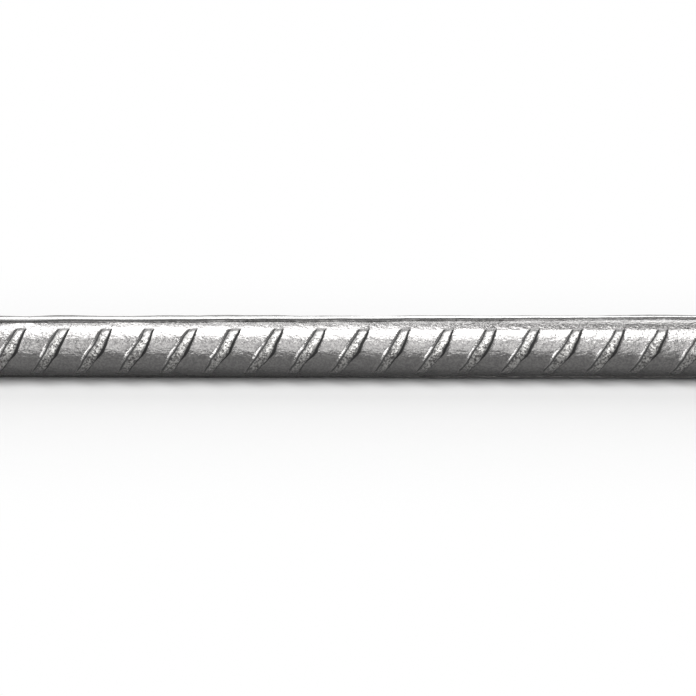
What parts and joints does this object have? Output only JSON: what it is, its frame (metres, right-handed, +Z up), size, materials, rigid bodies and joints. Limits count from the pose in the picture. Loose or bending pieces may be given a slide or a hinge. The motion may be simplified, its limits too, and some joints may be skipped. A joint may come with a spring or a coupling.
{
  "type": "steel reinforcing bar",
  "caption": "Straight deformed steel reinforcing bar: round hot-rolled core with two opposed longitudinal ribs and slanted crescent ribs that grip concrete, cut square at both ends.",
  "frame": {"origin": "on the floor under the middle of the bar's length, at the centre of the lower longitudinal rib's flat crest", "axes": "+X along the bar, +Z up through both longitudinal ribs, +Y across the bar away from the pictured side"},
  "size_m": [0.6096, 0.012, 0.0126],
  "materials": {
    "hot_rolled_steel": "satin"
  },
  "bodies": {
    "root": {"reinforcing_bar": "hot_rolled_steel"}
  },
  "joints": []
}
